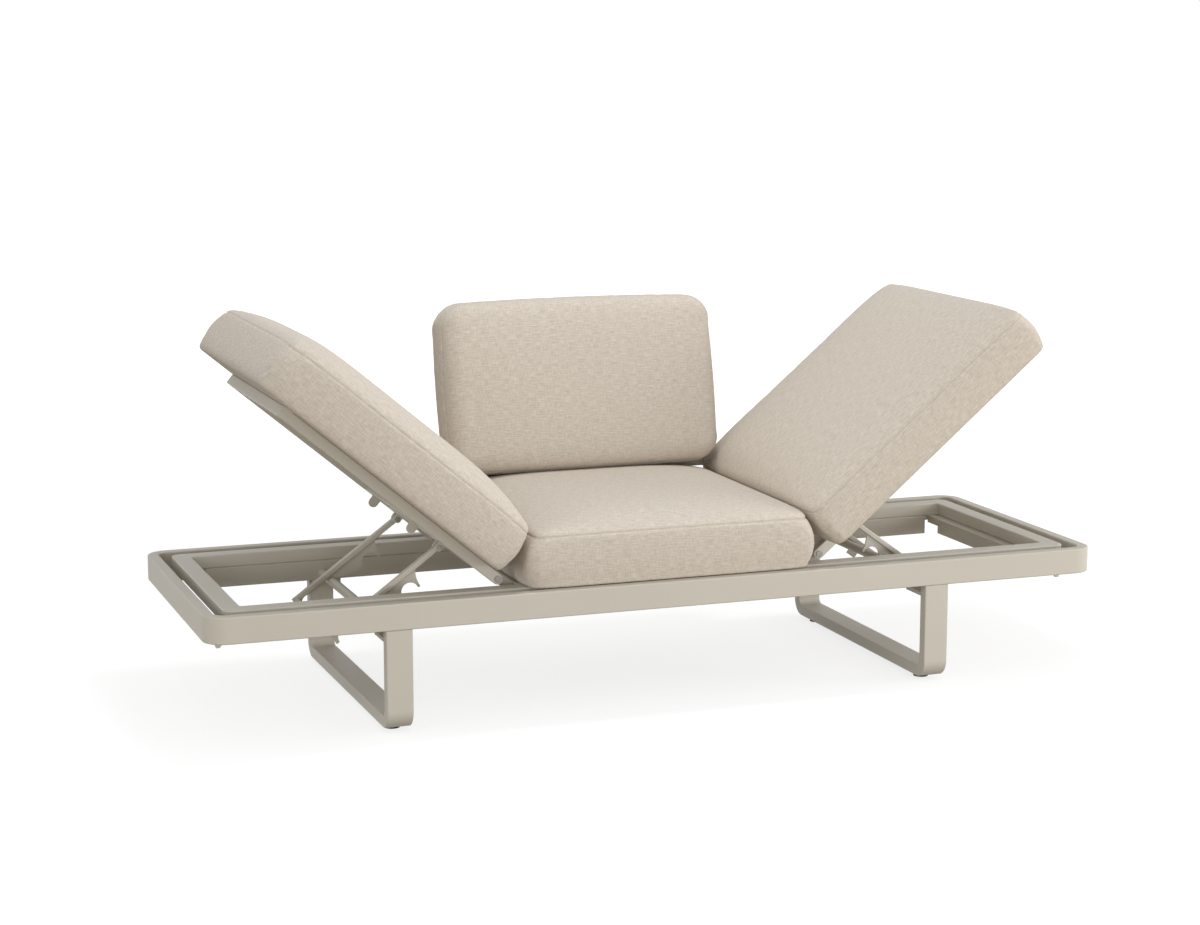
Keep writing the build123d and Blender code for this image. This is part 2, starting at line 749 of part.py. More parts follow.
for name, side in sides.items():
    finish(panel_rails(side), f"panel_rails_{name}")

    end_bar_planes = [across_panel(side, panel_length - panel_rail_width / 2, 0)]
    end_bar = tubes(end_bar_planes, panel_rail_width, panel_rail_height, 2 * panel_half_width, tube_wall)
    finish(end_bar, f"panel_end_bar_{name}")

    cross_tube_planes = [across_panel(side, run, 0) for run in (stay_pivot_run, guide_lug_run)]
    cross_tubes = tubes(cross_tube_planes, panel_rail_width, panel_rail_height, 2 * rail_inner_face, 0)
    finish(cross_tubes, f"panel_cross_tubes_{name}")

    slat_rise = (panel_rail_height - panel_slat_thickness) / 2
    slat_planes = []
    for number in range(panel_slat_count):
        run = last_slat_run - number * panel_slat_pitch
        slat_planes.append(across_panel(side, run, slat_rise))
    slats = flat_bars(slat_planes, panel_slat_width, panel_slat_thickness, 2 * rail_inner_face)
    finish(slats, f"panel_slats_{name}")

    cushion_plane = panel_plane(side).offset(panel_rail_height / 2)
    cushion_centre = panel_cushion_start + panel_cushion_length / 2
    cushion_plane.origin = cushion_plane.from_local_coords(Vector(cushion_centre, 0, 0))
    cushion = box_cushion(cushion_plane, panel_cushion_length, panel_cushion_width, cushion_height)
    finish(cushion, f"panel_cushion_{name}")

    finish(stay_ears(side), f"stay_ears_{name}")
    finish(guide_lugs(side), f"guide_lugs_{name}")

    pin_planes = []
    for end in (-1, 1):
        pin_planes.append(stay_profile_plane(side).offset(end * stay_spacing / 2))
    pin_length = stay_bar_width + 2 * (ear_play + ear_thickness)
    pin_head = (stay_pin_head_radius, stay_pin_head_height)
    finish(pins(pin_planes, stay_pin_radius, pin_length, (pin_head, pin_head)), f"stay_pins_{name}")

    finish(stay_bars(side), f"stay_bars_{name}")
    finish(catch_plates(side), f"catch_plates_{name}")

    with BuildPart() as stay_tie:
        with BuildSketch(stay_profile_plane(side)):
            with Locations((stay_length - stay_tie_inset, 0)):
                Circle(stay_tie_radius)
        extrude(amount=stay_inner_face, both=True)
    finish(stay_tie, f"stay_tie_{name}")
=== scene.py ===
"""An outdoor daybed sofa, dressed: woven cushions on a powder-coated tube frame."""

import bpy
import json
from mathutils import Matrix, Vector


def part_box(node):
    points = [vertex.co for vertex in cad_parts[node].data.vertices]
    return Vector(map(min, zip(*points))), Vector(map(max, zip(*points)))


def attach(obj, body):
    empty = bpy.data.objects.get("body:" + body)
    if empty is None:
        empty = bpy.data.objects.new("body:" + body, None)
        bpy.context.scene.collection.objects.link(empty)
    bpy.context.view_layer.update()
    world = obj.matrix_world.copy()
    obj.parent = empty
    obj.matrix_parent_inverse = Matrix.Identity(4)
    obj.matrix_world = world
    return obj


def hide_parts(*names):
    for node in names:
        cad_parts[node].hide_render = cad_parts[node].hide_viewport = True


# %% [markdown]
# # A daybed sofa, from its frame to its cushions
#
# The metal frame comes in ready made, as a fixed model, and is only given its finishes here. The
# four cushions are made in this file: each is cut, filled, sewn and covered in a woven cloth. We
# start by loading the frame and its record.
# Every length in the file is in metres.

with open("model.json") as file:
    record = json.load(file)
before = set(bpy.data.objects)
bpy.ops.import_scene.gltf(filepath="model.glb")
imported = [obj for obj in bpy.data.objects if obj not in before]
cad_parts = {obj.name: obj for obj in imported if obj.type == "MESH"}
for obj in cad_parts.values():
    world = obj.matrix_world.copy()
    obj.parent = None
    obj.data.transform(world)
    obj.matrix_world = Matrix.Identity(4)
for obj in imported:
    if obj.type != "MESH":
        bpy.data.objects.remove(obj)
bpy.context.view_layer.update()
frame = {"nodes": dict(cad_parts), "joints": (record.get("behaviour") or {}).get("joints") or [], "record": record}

# %% Other modules
import json
from math import cos, hypot, pi, radians, sin, sqrt

import bmesh
import bpy
from mathutils import Matrix, Vector
from mathutils.kdtree import KDTree

# %% [markdown]
# ## Places taken from the frame
#
# The cushions lie on the deck and on two raised side panels. We could type in where those are, but
# then a change to the frame would leave the cushions behind. So the deck's height and middle come
# from the box of the outer hoop, and each panel's hinge from the joint that carries it.

# %% Deck and hinges
hoop_low, hoop_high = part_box("outer_hoop")
deck_top = hoop_high.z
deck_middle_y = (hoop_low.y + hoop_high.y) / 2
hinges = {joint["child"]: Vector(joint["pos_m"]) for joint in frame["joints"]}
print("deck top", round(deck_top, 4), "middle y", round(deck_middle_y, 4))

# %% [markdown]
# ## Adding shader nodes
#
# Every finish below is a small network of shader nodes. One helper adds a node, sets it up and
# links its inputs, which keeps each network short enough to read in one go. Colours are written
# the way a colour picker shows them, as sRGB hex values, and turned to the linear values that
# Blender's sockets expect.

# %% Node and colour helpers
def linear(hex_colour):
    """Linear RGBA of an sRGB hex colour."""
    channels = [int(hex_colour[i:i + 2], 16) / 255 for i in (1, 3, 5)]
    return [c / 12.92 if c <= 0.04045 else ((c + 0.055) / 1.055) ** 2.4 for c in channels] + [1]


def add(tree, kind, inputs=None, **settings):
    """Add a shader node with its settings, and give its inputs values or links."""
    node = tree.nodes.new("ShaderNode" + kind)
    for name, value in settings.items():
        setattr(node, name, value)
    for name, value in (inputs or {}).items():
        if isinstance(value, bpy.types.NodeSocket):
            tree.links.new(value, node.inputs[name])
        else:
            node.inputs[name].default_value = value
    return node


def finish(name):
    """A new material: its node tree, and the principled shader that its surface uses."""
    material = bpy.data.materials.new(name)
    material.use_nodes = True
    tree = material.node_tree
    return material, tree, tree.nodes["Principled BSDF"]


print("middle grey #808080 is", round(linear("#808080")[0], 3), "in linear light")

# %% [markdown]
# ## Powder coat on the tubes
#
# The frame is painted with a polyester powder that is baked on. It melts into a smooth satin skin
# with a faint ripple, called orange peel, of 2 to 3 mm. A picture of painted metal would stretch
# where the tubes bend, so we use noise in the object's own space, which has one grain all over.
# The ripple is what breaks up highlights, so it goes into the bump, and a very slight drift of
# tone keeps long tubes from looking flat.

# %% Powder-coated aluminium, warm taupe, satin
peel_size = 0.0025
drift_size = 0.35
powder_coat, tree, shader = finish("powder_coat_taupe")
position = add(tree, "TexCoord")
peel = add(
    tree,
    "TexNoise",
    {"Vector": position.outputs["Object"], "Scale": 1 / peel_size, "Detail": 2.0},
)
drift = add(
    tree,
    "TexNoise",
    {"Vector": position.outputs["Object"], "Scale": 1 / drift_size, "Detail": 3.0},
)
tone = add(
    tree,
    "Mix",
    {"Factor": drift.outputs["Fac"], "A": linear("#c5bfb2"), "B": linear("#cdc8bc")},
    data_type="RGBA",
)
gloss = add(tree, "MapRange", {"Value": peel.outputs["Fac"], "To Min": 0.42, "To Max": 0.54})
ripple = add(tree, "Bump", {"Height": peel.outputs["Fac"], "Strength": 0.25, "Distance": 0.0002})
tree.links.new(tone.outputs["Result"], shader.inputs["Base Color"])
tree.links.new(gloss.outputs["Result"], shader.inputs["Roughness"])
tree.links.new(ripple.outputs["Normal"], shader.inputs["Normal"])
print("made", powder_coat.name)

# %% [markdown]
# ## Bare steel and black rubber
#
# The hinge bolts and stay pins are plain stainless steel, turned on a lathe. The tool leaves rings
# that are too fine to tell apart at this distance, so a fine noise stands in for them, in the
# roughness and the bump. The feet are moulded rubber, nearly black, with the dull skin of a rough
# mould. The same kind of noise, coarser, goes into its colour and its bump.

# %% Stainless steel, turned
mark_size = 0.0008
steel, tree, shader = finish("stainless_turned")
position = add(tree, "TexCoord")
marks = add(
    tree,
    "TexNoise",
    {"Vector": position.outputs["Object"], "Scale": 1 / mark_size, "Detail": 2.0},
)
polish = add(tree, "MapRange", {"Value": marks.outputs["Fac"], "To Min": 0.34, "To Max": 0.48})
relief = add(tree, "Bump", {"Height": marks.outputs["Fac"], "Strength": 0.15, "Distance": 0.0001})
shader.inputs["Base Color"].default_value = linear("#8b8882")
shader.inputs["Metallic"].default_value = 1
tree.links.new(polish.outputs["Result"], shader.inputs["Roughness"])
tree.links.new(relief.outputs["Normal"], shader.inputs["Normal"])
print("made", steel.name)

# %% Moulded rubber, black
pore_size = 0.0015
rubber, tree, shader = finish("moulded_rubber_black")
position = add(tree, "TexCoord")
pores = add(
    tree,
    "TexNoise",
    {"Vector": position.outputs["Object"], "Scale": 1 / pore_size, "Detail": 3.0},
)
tint = add(
    tree,
    "Mix",
    {"Factor": pores.outputs["Fac"], "A": linear("#1b1a19"), "B": linear("#2a2826")},
    data_type="RGBA",
)
skin = add(tree, "Bump", {"Height": pores.outputs["Fac"], "Strength": 0.4, "Distance": 0.0002})
tree.links.new(tint.outputs["Result"], shader.inputs["Base Color"])
tree.links.new(skin.outputs["Normal"], shader.inputs["Normal"])
shader.inputs["Roughness"].default_value = 0.7
print("made", rubber.name)

# %% [markdown]
# ## Dressing the frame
#
# The model's record lists each piece with a material slot: painted frame, bare hardware, rubber
# glide or fabric. We could name every tube and bolt here, but the list already knows, so the slot
# picks the finish. The cushions' plain solids are in it too. They wear the paint for a moment, and
# are hidden as soon as the covers stand in for them.

# %% Dress the frame
finishes = {"frame": powder_coat, "hardware": steel, "glide": rubber, "fabric": powder_coat}
slots = {entry["node"]: entry["material_slot"] for entry in frame["record"]["subparts"]}
for name, node_object in frame["nodes"].items():
    node_object.data.materials.clear()
    node_object.data.materials.append(finishes[slots[name]])
print("dressed", len(frame["nodes"]), "frame pieces")

# %% [markdown]
# ## Woven cloth
#
# The covers are an outdoor linen-look weave: olefin yarns that are spun thick and thin, called
# slubs, in two or three close beige tones. From a step away the eye picks up short streaks along
# and across, and a soft grain between them, more than single threads. So no thread is drawn: two
# noises, one stretched along the cloth and one across it, give the streaks.
#
# The pattern follows the cloth, so it reads each cushion's own UV map, whose unit is a metre of
# cloth. Real yarns lie about 1 mm apart. They are drawn 2.7 mm apart here, so that they show.

# %% Streaks of the yarns
yarn_spacing = 0.0027
weft_slub = 0.022
warp_slub = 0.7 * weft_slub
grain_size = 0.0027
weft_strength = 1.4
cloth, tree, shader = finish("woven_linen_beige")
weave_map = add(tree, "UVMap", uv_map="weave")


def streaks(along, across, shift):
    """Slubs: a noise stretched along one direction of the cloth, and shifted to differ."""
    stretch = (1 / along, 1 / across, 1)
    stretched = add(
        tree,
        "Mapping",
        {"Vector": weave_map.outputs["UV"], "Scale": stretch, "Location": (shift, 0, 0)},
    )
    return add(
        tree,
        "TexNoise",
        {"Vector": stretched.outputs["Vector"], "Scale": 1.0, "Detail": 1.5},
    )


weft = streaks(weft_slub, yarn_spacing, 0)
warp = streaks(yarn_spacing, warp_slub, 7)
speck = add(
    tree,
    "TexNoise",
    {"Vector": weave_map.outputs["UV"], "Scale": 1 / grain_size, "Detail": 2.0},
)
weft_part = add(tree, "Math", {0: weft.outputs["Fac"], 1: weft_strength}, operation="MULTIPLY")
crossing = add(
    tree,
    "Math",
    {0: weft_part.outputs["Value"], 1: warp.outputs["Fac"]},
    operation="ADD",
)
print("yarns", 1000 * yarn_spacing, "mm apart, slubs", 1000 * weft_slub, "mm long")

# %% [markdown]
# Both noises average 0.5, so their sum lies round 1.2. Where it is low the yarn is thin and shows
# a darker beige, and where it is high the yarn is thick and pale. The grain then lays a third tone
# over some of it, which keeps the streaks from reading as stripes.

# %% Tones of the yarns
thin_yarn, thick_yarn = 0.86, 1.54
threads = add(
    tree,
    "MapRange",
    {"Value": crossing.outputs["Value"], "From Min": thin_yarn, "From Max": thick_yarn},
)
yarn_tone = add(
    tree,
    "Mix",
    {"Factor": threads.outputs["Result"], "A": linear("#c6bbac"), "B": linear("#e0d8cd")},
    data_type="RGBA",
)
yarn_share = add(
    tree,
    "MapRange",
    {"Value": speck.outputs["Fac"], "From Min": 0.30, "From Max": 0.58, "To Min": 0.35},
)
cloth_tone = add(
    tree,
    "Mix",
    {
        "Factor": yarn_share.outputs["Result"],
        "A": linear("#ccc2b4"),
        "B": yarn_tone.outputs["Result"],
    },
    data_type="RGBA",
)
tree.links.new(cloth_tone.outputs["Result"], shader.inputs["Base Color"])
print("streaks run from", thin_yarn, "to", thick_yarn)

# %% [markdown]
# Yarn is matt, and its loose fibres catch a little light at grazing angles. A low specular level
# and a thin sheen give that. The same streaks and grain also raise the surface by under 1 mm.

# %% Relief and sheen of the cloth
weave_height = add(
    tree,
    "Math",
    {0: crossing.outputs["Value"], 1: speck.outputs["Fac"]},
    operation="ADD",
)
weave_bump = add(
    tree,
    "Bump",
    {"Height": weave_height.outputs["Value"], "Strength": 0.28, "Distance": 0.0008},
)
tree.links.new(weave_bump.outputs["Normal"], shader.inputs["Normal"])
shader.inputs["Roughness"].default_value = 0.92
shader.inputs["Specular IOR Level"].default_value = 0.2
shader.inputs["Sheen Weight"].default_value = 0.15
shader.inputs["Sheen Roughness"].default_value = 0.5
print("made", cloth.name)

# %% [markdown]
# ## How a box cushion is built
#
# A box cushion has three parts: a top panel, a bottom panel and a band round the side, sewn to
# each other at two seams. The foam inside is a little too big for the cover, so the top panel
# rolls over the edge before it reaches its seam, and the band swells between the seams.
#
# We could sculpt such a form by hand. Here it grows from a plain box whose six faces are cut into
# a fine grid: the top and bottom faces are the panels, the four sides are the band, and the box's
# edges are the seams. The grid is laid out flat first, at the size of the cloth, and written to
# the UV map, which is how the weave gets its true scale on every side.

# %% Cut the cloth
grid_step = 0.0085


def cut_cloth(length, width, band):
    """A box of cloth panels, cut into a fine grid, with its weave laid out in metres."""
    mesh = bmesh.new()
    bmesh.ops.create_cube(mesh, size=1)
    bmesh.ops.scale(mesh, vec=(length, width, band), verts=mesh.verts)
    for axis, size in enumerate((length, width, band)):
        across = []
        for edge in mesh.edges:
            run = edge.verts[1].co - edge.verts[0].co
            if abs(run[axis]) > 0.5 * run.length:
                across.append(edge)
        cuts = round(size / grid_step)
        bmesh.ops.subdivide_edges(mesh, edges=across, cuts=cuts, use_grid_fill=True)
    weave = mesh.loops.layers.uv.new("weave")
    for face in mesh.faces:
        facing = face.normal
        for loop in face.loops:
            x, y, z = loop.vert.co
            if abs(facing.z) > 0.5:
                loop[weave].uv = (x, y + (0 if facing.z > 0 else width))
            elif abs(facing.y) > 0.5:
                loop[weave].uv = (x, z + 2 * width) if facing.y < 0 else (-x, z - width)
            else:
                loop[weave].uv = (facing.x * (y + length + width), z + 2 * width)
    return mesh


print("a panel of 700 mm is cut", round(0.7 / grid_step), "times each way")

# %% [markdown]
# ## Filling the cover
#
# Each grid point of the flat box is now moved to where the foam pushes it. First its place in
# plan: the square corners of the box become round, as foam can't fill a square corner. The top
# panel leaves its seam in a small roll, a quarter of an ellipse, which takes up more cloth than
# its own width. The flat box was cut larger by that spare cloth, and here it goes into the roll.

# %% Rounding the plan
def quarter_arc(a, b):
    """Length of a quarter of an ellipse, by Ramanujan's rule."""
    return pi / 4 * (3 * (a + b) - sqrt((3 * a + b) * (a + 3 * b)))


def side_of(value):
    """Which side of the middle a value lies on, as 1 or -1."""
    return 1 if value > 0 else -1


def round_plan(x, y, half_length, half_width, corner, roll_in, spare):
    """Plan place of a point, and how far along the roll it lies: 0 at the seam, 1 past it."""
    corner_x, corner_y = half_length - corner, half_width - corner
    out_x, out_y = max(abs(x) - corner_x, 0), max(abs(y) - corner_y, 0)
    square = corner + spare
    if out_x == 0 and out_y == 0:
        return x, y, 1
    u, v = min(out_x / square, 1), min(out_y / square, 1)
    disc_x, disc_y = u * sqrt(1 - v * v / 2), v * sqrt(1 - u * u / 2)
    reach = hypot(disc_x, disc_y)
    along = min((1 - reach) * square / (roll_in + spare), 1)
    inset = roll_in * (1 - cos(along * pi / 2)) if along < 1 else (1 - reach) * square - spare
    radius = corner - inset
    place_x = min(abs(x), corner_x) + disc_x / reach * radius
    place_y = min(abs(y), corner_y) + disc_y / reach * radius
    return place_x * side_of(x), place_y * side_of(y), along


print("a roll of 14 by 9 mm takes", round(1000 * quarter_arc(0.014, 0.009), 1), "mm of cloth")

# %% [markdown]
# The band is drawn in to the seam above it and to the foot below, most of all at the corners,
# where the cloth has the least foam behind it, and the seam falls a little there too. Between the
# corners the sides can bow out. A pull fades fast away from its seam or corner, so it is a power
# of how near a point is, from 0 to 1. A higher power keeps the pull closer to the edge.

# %% Drawing in the band
pull_power = 3
corner_power = 8


def draw_in(px, py, height, tx, ty, share, form):
    """Move a point in or out; tx, ty and share are its places along the length, width and band."""
    foot, lip = (1 - share) ** pull_power, share ** pull_power
    end_move = form["bow"] * (1 - ty ** 2) - foot * form["foot"][0] - lip * form["lip"][0]
    side_move = form["bow"] * (1 - tx ** 2) - foot * form["foot"][1] - lip * form["lip"][1]
    at_corner = (tx * ty) ** corner_power
    corner_move = -(foot * form["corner_foot"] + lip * form["corner_lip"]) * at_corner
    height -= lip * form["corner_drop"] * at_corner
    px += (end_move * tx ** pull_power + corner_move) * side_of(px)
    py += (side_move * ty ** pull_power + corner_move) * side_of(py)
    return px, py, height


print("halfway up the band the pull is", (1 / 2) ** pull_power, "of what it is at the seam")

# %% [markdown]
# Last comes the height. Past its roll the top panel rises like a pillow: fast near the seam and
# hardly at all in the middle. A cushion that lies on a flat deck has no such rise underneath.

# %% Filling every point
tolerance = 1e-6


def fill(mesh, form):
    """Move the flat box's points to the shape of the filled cushion."""
    half_length, half_width = form["length"] / 2, form["width"] / 2
    band_low = form["bottom_roll"][1]
    band_high = band_low + form["band"]
    seam_z = form["band"] / 2
    for vert in mesh.verts:
        x, y, z = vert.co
        share = z / form["band"] + 0.5
        top = abs(z - seam_z) < tolerance
        on_panel = top or abs(z + seam_z) < tolerance
        roll_in, roll_up = form["top_roll"] if top else form["bottom_roll"]
        spare = quarter_arc(roll_in, roll_up) - roll_in
        x *= (half_length + spare) / (half_length + form["spare"])
        y *= (half_width + spare) / (half_width + form["spare"])
        px, py, along = round_plan(x, y, half_length, half_width, form["corner"], roll_in, spare)
        tx, ty = min(abs(px) / half_length, 1), min(abs(py) / half_width, 1)
        pillow = (1 - tx ** form["end_power"]) * (1 - ty ** form["side_power"])
        if top:
            height = band_high + roll_up * sin(along * pi / 2) + form["rise"] * pillow
        elif on_panel:
            height = band_low - roll_up * sin(along * pi / 2) - form["under_rise"] * pillow
        else:
            height = band_low + share * (band_high - band_low)
        vert.co = draw_in(px, py, height, tx, ty, share, form)


print("points within", 1000 * tolerance, "mm of a seam count as on it")

# %% [markdown]
# ## Air in the cushion
#
# A computed form is too regular. Blender's cloth solver now treats the cover as real cloth, sewn
# fast at its seams, and blows it up a little from inside. The cloth is 1.2 percent too large for
# its form, which Blender calls a negative shrink, so that it can swell. That draws the small
# hollows beside the seams and the fullness between them. Gravity is off, because foam holds the
# cushion's shape, and no point may end up further from the computed form than a set distance.

# %% Inflate a cover
solver_frames = 20
# Close to Blender's preset for cotton, but harder to bend, so that no fine wrinkles form.
cloth_settings = {
    "quality": 4,
    "mass": 0.25,
    "tension_stiffness": 12,
    "compression_stiffness": 12,
    "shear_stiffness": 6,
    "bending_stiffness": 0.8,
    "shrink_min": -0.012,
    "use_pressure": True,
    "vertex_group_mass": "sewn",
}


def inflate(piece, held, pressure, most):
    """Run the cloth solver on a cover that is held at its seams, and keep the capped result."""
    group = piece.vertex_groups.new(name="sewn")
    group.add(held, 1.0, "REPLACE")
    modifier = piece.modifiers.new("air", "CLOTH")
    for name, value in cloth_settings.items():
        setattr(modifier.settings, name, value)
    modifier.settings.uniform_pressure_force = pressure
    modifier.settings.effector_weights.gravity = 0
    modifier.collision_settings.use_collision = False
    scene = bpy.context.scene
    for number in range(1, solver_frames + 1):
        scene.frame_set(number)
    graph = bpy.context.evaluated_depsgraph_get()
    blown = [v.co.copy() for v in piece.evaluated_get(graph).data.vertices]
    piece.modifiers.remove(modifier)
    scene.frame_set(1)
    furthest = 0
    for vert, place in zip(piece.data.vertices, blown):
        move = place - vert.co
        furthest = max(furthest, move.length)
        if move.length > most:
            move *= most / move.length
        vert.co += move
    print(piece.name, "moved up to", round(furthest * 1000, 1), "mm, kept within", most * 1000)


print("the solver takes", solver_frames, "frames for each cover")

# %% [markdown]
# ## Sewing the seams
#
# A plain seam shows as a fine groove where the two edges of cloth turn inwards. A dark line in the
# material would look drawn on, so the groove is real: the grid edges on the seam are bevelled into
# a strip a few millimetres wide, and the strip's middle line is pushed in. Seams come after the
# solver, which would pull such a narrow groove flat.
#
# The seams are found by what meets at them. An edge of the grid is on a seam where one of its two
# faces lies flat, in a panel, and the other stands up, in the band.

# %% Find the seams
def find_seams(mesh, form):
    """Numbers of the points that the solver holds, and of the edges on each of the two seams."""
    seam_z = form["band"] / 2
    held, seams = [], {1: [], -1: []}
    for vert in mesh.verts:
        level = side_of(vert.co.z)
        on_panel = abs(abs(vert.co.z) - seam_z) < tolerance
        at_edge = any(abs(face.normal.z) < 0.5 for face in vert.link_faces)
        if on_panel and (at_edge or (level < 0 and form["flat_base"])):
            held.append(vert.index)
    mesh.edges.ensure_lookup_table()
    for edge in mesh.edges:
        lies_flat = [abs(face.normal.z) > 0.5 for face in edge.link_faces]
        if sum(lies_flat) == 1:
            seams[side_of(edge.verts[0].co.z)].append(edge.index)
    return held, seams


trial = cut_cloth(0.1, 0.1, 0.05)
trial_seams = find_seams(trial, {"band": 0.05, "flat_base": False})[1]
trial.free()
print("a small trial cover has", [len(seam) for seam in trial_seams.values()], "seam edges")

# %% Sew
def sew(mesh, seam_edges, width, depth):
    """Turn seam edges into a narrow groove."""
    line = [vert.co.copy() for vert in {v for edge in seam_edges for v in edge.verts}]
    tree = KDTree(len(line))
    for number, place in enumerate(line):
        tree.insert(place, number)
    tree.balance()
    strip = bmesh.ops.bevel(
        mesh,
        geom=seam_edges,
        offset=width / 2,
        affect="EDGES",
        segments=2,
        profile=0.5,
        material=-1,
    )
    mesh.normal_update()
    middle = [vert for vert in strip["verts"] if tree.find(vert.co)[2] < width / 5]
    for vert in middle:
        vert.co -= vert.normal * depth
    return len(middle)


# %% [markdown]
# ## From cloth to cushion
#
# One function runs the steps in order: cut, fill, inflate, sew, and set the cushion in its place.
# The place is written into the mesh, so the object itself stays at the origin, unturned.
#
# Each cushion is described by a form, in metres:
#
# - length and width are its size in plan, and corner is the radius of its corners
# - band is the height of the band, from seam to seam
# - top_roll and bottom_roll say how far a panel's roll goes in and up
# - rise and under_rise are the pillow's height above and below, and the two powers its flatness
# - foot and lip draw the band in below and above, at the ends and at the sides
# - corner_foot, corner_lip and corner_drop do so at the corners, and bow lets the sides out
# - flat_base is for a cushion that lies on a flat deck, and has no seam to be seen underneath
# - pressure and give are the solver's push and the furthest that a point may move
# - seam_width and seam_depth are the groove's, and fullness is 1 for a cushion filled tight

# %% Make a cushion
def make_cushion(name, form, place):
    """A finished cushion from its form, set in place by a matrix."""
    spare = max(quarter_arc(*form[roll]) - form[roll][0] for roll in ("top_roll", "bottom_roll"))
    form = {**form, "spare": spare}
    mesh = cut_cloth(form["length"] + 2 * spare, form["width"] + 2 * spare, form["band"])
    held, seams = find_seams(mesh, form)
    fill(mesh, form)
    data = bpy.data.meshes.new(name)
    mesh.to_mesh(data)
    mesh.free()
    piece = bpy.data.objects.new(name, data)
    bpy.context.scene.collection.objects.link(piece)
    inflate(piece, held, form["pressure"], form["give"])
    mesh = bmesh.new()
    mesh.from_mesh(data)
    mesh.edges.ensure_lookup_table()
    lines = {level: [mesh.edges[number] for number in seams[level]] for level in (1, -1)}
    points = sew(mesh, lines[1], form["seam_width"], form["seam_depth"])
    if not form["flat_base"]:
        points += sew(mesh, lines[-1], form["seam_width"], form["seam_depth"])
    bmesh.ops.transform(mesh, matrix=place, verts=mesh.verts)
    for face in mesh.faces:
        face.smooth = True
    mesh.to_mesh(data)
    mesh.free()
    piece.vertex_groups.clear()
    smoother = piece.modifiers.new("smooth", "SUBSURF")
    smoother.levels = 1
    smoother.render_levels = 1
    data.materials.append(cloth)
    print(name, "faces", len(data.polygons), "seam points", points)
    return piece


# %% [markdown]
# ## The seat cushion
#
# The seat is a firm box cushion 700 mm square and about 160 mm thick. Its top seam runs some
# 43 mm below the top, and its bottom edge is drawn in where it rests on the deck. It lies 4 mm
# forward of the deck's middle, just behind the hoop's front edge.

# %% Seat
seat_form = {
    "length": 0.706,
    "width": 0.708,
    "corner": 0.028,
    "band": 0.111,
    "top_roll": (0.014, 0.009),
    "bottom_roll": (0.008, 0.008),
    "rise": 0.034,
    "under_rise": 0.0,
    "end_power": 4,
    "side_power": 4,
    "foot": (0.003, 0.009),
    "lip": (0.015, 0.006),
    "corner_foot": 0.014,
    "corner_lip": 0.011,
    "corner_drop": 0.006,
    "bow": -0.001,
    "flat_base": True,
    "pressure": 4.0,
    "give": 0.0015,
    "seam_width": 0.0040,
    "seam_depth": 0.0040,
    "fullness": 0.9,
}
rest_gap = 0.0003
seat_forward = 0.004
seat_place = Matrix.Translation((0, deck_middle_y - seat_forward, deck_top + rest_gap))
seat_cushion = make_cushion("seat_cushion_cover", seat_form, seat_place)
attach(seat_cushion, "base")
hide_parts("seat_cushion")

# %% [markdown]
# ## The side panel cushions
#
# Both side cushions are the same piece, turned end for end. Each lies on a panel that rises at 40
# degrees from its hinge, so its place is a matrix whose x runs up the panel and whose z stands out
# of it. These cushions are as thick as the seat, but their seam lies lower, some 55 mm below the
# top, and the cloth above it is fuller. What isn't said again here is as on the seat.

# %% Side panels
panel_form = {
    **seat_form,
    "length": 0.707,
    "corner": 0.026,
    "band": 0.100,
    "top_roll": (0.015, 0.011),
    "rise": 0.044,
    "end_power": 6,
    "foot": (0.005, 0.006),
    "lip": (0.003, 0.004),
    "corner_foot": 0.003,
    "corner_lip": 0.008,
}
panel_tilt = radians(40)
panel_start = 0.025  # from the hinge to the cushion's lower end, along the panel
rail_height = 0.0255  # the hinge goes through the rail halfway up
panel_top = rail_height / 2
for side, way in (("right", 1), ("left", -1)):
    up_panel = Vector((way * cos(panel_tilt), 0, sin(panel_tilt)))
    out_of_panel = Vector((-way * sin(panel_tilt), 0, cos(panel_tilt)))
    middle = hinges[f"panel_{side}"] + up_panel * (panel_start + panel_form["length"] / 2)
    middle += out_of_panel * (panel_top + rest_gap)
    place = Matrix((up_panel, Vector((0, way, 0)), out_of_panel)).transposed().to_4x4()
    place.translation = middle
    cover = make_cushion(f"panel_cushion_cover_{side}", panel_form, place)
    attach(cover, f"panel_{side}")
    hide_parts(f"panel_cushion_{side}")

# %% [markdown]
# ## The back cushion
#
# The back cushion stands on the rear of the seat and leans back. It has a seam at the front and at
# the rear of its edge, with the same round roll at both. It is softer than the others, so both its
# faces rise a little and its sides bow out. It is placed by the middle line of its lower edge,
# which lies on the seat, and built up and forward from there.

# %% Back
back_form = {
    **seat_form,
    "length": 0.698,
    "width": 0.418,
    "corner": 0.055,
    "band": 0.076,
    "top_roll": (0.030, 0.030),
    "bottom_roll": (0.030, 0.030),
    "rise": 0.014,
    "under_rise": 0.006,
    "foot": (0.004, 0.004),
    "lip": (0.004, 0.004),
    "corner_foot": 0.0,
    "corner_lip": 0.0,
    "corner_drop": 0.0,
    "bow": 0.007,
    "flat_base": False,
    "fullness": 0.8,
}
back_lean = radians(12.6)
edge_behind = 0.277  # the lower edge's middle line, behind the deck's middle
edge_above = 0.152  # and above the deck
edge_from_rear = 0.070  # and forward of the cushion's rear panel
up_back = Vector((0, sin(back_lean), cos(back_lean)))
out_of_back = Vector((0, -cos(back_lean), sin(back_lean)))
place = Matrix((Vector((1, 0, 0)), up_back, out_of_back)).transposed().to_4x4()
place.translation = Vector((0, deck_middle_y + edge_behind, deck_top + edge_above))
place.translation += up_back * back_form["width"] / 2 - out_of_back * edge_from_rear
back_cushion = make_cushion("back_cushion_cover", back_form, place)
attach(back_cushion, "base")
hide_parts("back_cushion")

